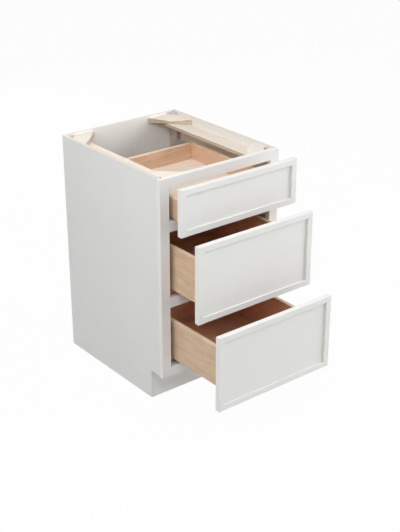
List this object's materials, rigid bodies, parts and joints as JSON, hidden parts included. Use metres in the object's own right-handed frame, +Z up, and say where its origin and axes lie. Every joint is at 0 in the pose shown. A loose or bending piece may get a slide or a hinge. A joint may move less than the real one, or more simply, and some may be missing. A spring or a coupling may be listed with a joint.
{
  "type": "base cabinet with drawers",
  "caption": "Framed kitchen base cabinet with a toe space and slim shaker drawer fronts on dovetailed boxes with undermount slides, drawn out by different amounts.",
  "frame": {"origin": "on the wall face of the back panel, at floor level, on the centre line of the cabinet's width", "axes": "+Z up, +Y out of the back into the wall, so the drawers open towards -Y; +X is the right hand of someone facing the drawers"},
  "size_m": [0.5334, 0.9173, 0.8763],
  "materials": {
    "white_paint": "satin white paint on plywood and hardwood",
    "front_paint": "satin white paint on fibreboard",
    "interior_ply": "clear-coated pale plywood",
    "birch_ply": "bare pale plywood",
    "drawer_wood": "clear-coated hardwood",
    "drawer_ply": "clear-coated plywood",
    "zinc_steel": "zinc-plated steel",
    "grey_plastic": "moulded plastic"
  },
  "bodies": {
    "cabinet": {"side_panel_left": "white_paint", "side_panel_right": "white_paint", "back_panel": "interior_ply", "bottom_panel": "interior_ply", "toe_kick_board": "white_paint", "frame_stile_left": "white_paint", "frame_stile_right": "white_paint", "frame_top_rail": "white_paint", "frame_upper_mid_rail": "white_paint", "frame_lower_mid_rail": "white_paint", "frame_bottom_rail": "white_paint", "side_plank_left": "birch_ply", "side_plank_right": "birch_ply", "corner_block_front_left": "birch_ply", "corner_block_front_right": "birch_ply", "corner_block_rear_left": "birch_ply", "corner_block_rear_right": "birch_ply", "mounting_strip_left": "interior_ply", "mounting_strip_right": "interior_ply", "top_slide_cabinet_members": "zinc_steel", "middle_slide_cabinet_members": "zinc_steel", "bottom_slide_cabinet_members": "zinc_steel", "slide_rear_brackets": "zinc_steel", "slide_screws": "zinc_steel"},
    "top_drawer": {"top_front_stiles": "front_paint", "top_front_rails": "front_paint", "top_front_panel": "front_paint", "top_box_front": "drawer_wood", "top_box_back": "drawer_wood", "top_box_side_left": "drawer_wood", "top_box_side_right": "drawer_wood", "top_box_bottom": "drawer_ply", "top_front_screws": "zinc_steel", "top_slide_drawer_members": "zinc_steel", "top_locking_clips": "grey_plastic"},
    "top_middle_members": {"top_slide_middle_members": "zinc_steel"},
    "middle_drawer": {"middle_front_stiles": "front_paint", "middle_front_rails": "front_paint", "middle_front_panel": "front_paint", "middle_box_front": "drawer_wood", "middle_box_back": "drawer_wood", "middle_box_side_left": "drawer_wood", "middle_box_side_right": "drawer_wood", "middle_box_bottom": "drawer_ply", "middle_front_screws": "zinc_steel", "middle_slide_drawer_members": "zinc_steel", "middle_locking_clips": "grey_plastic"},
    "middle_middle_members": {"middle_slide_middle_members": "zinc_steel"},
    "bottom_drawer": {"bottom_front_stiles": "front_paint", "bottom_front_rails": "front_paint", "bottom_front_panel": "front_paint", "bottom_box_front": "drawer_wood", "bottom_box_back": "drawer_wood", "bottom_box_side_left": "drawer_wood", "bottom_box_side_right": "drawer_wood", "bottom_box_bottom": "drawer_ply", "bottom_front_screws": "zinc_steel", "bottom_slide_drawer_members": "zinc_steel", "bottom_locking_clips": "grey_plastic"},
    "bottom_middle_members": {"bottom_slide_middle_members": "zinc_steel"}
  },
  "joints": [
    {"name": "top_drawer_slide", "type": "slide", "parent": "cabinet", "child": "top_drawer", "axis": [0, -1, 0], "range_m": [-0.0848, 0.4152]},
    {"name": "top_middle_members_slide", "type": "slide", "parent": "cabinet", "child": "top_middle_members", "axis": [0, -1, 0], "range_m": [-0.0424, 0.2076]},
    {"name": "middle_drawer_slide", "type": "slide", "parent": "cabinet", "child": "middle_drawer", "axis": [0, -1, 0], "range_m": [-0.1759, 0.3241]},
    {"name": "middle_middle_members_slide", "type": "slide", "parent": "cabinet", "child": "middle_middle_members", "axis": [0, -1, 0], "range_m": [-0.08795, 0.16205]},
    {"name": "bottom_drawer_slide", "type": "slide", "parent": "cabinet", "child": "bottom_drawer", "axis": [0, -1, 0], "range_m": [-0.2875, 0.2125]},
    {"name": "bottom_middle_members_slide", "type": "slide", "parent": "cabinet", "child": "bottom_middle_members", "axis": [0, -1, 0], "range_m": [-0.14375, 0.10625]}
  ],
  "couplings": [
    {"joint": "top_middle_members_slide", "follows": "top_drawer_slide", "ratio": 0.5},
    {"joint": "middle_middle_members_slide", "follows": "middle_drawer_slide", "ratio": 0.5},
    {"joint": "bottom_middle_members_slide", "follows": "bottom_drawer_slide", "ratio": 0.5}
  ]
}
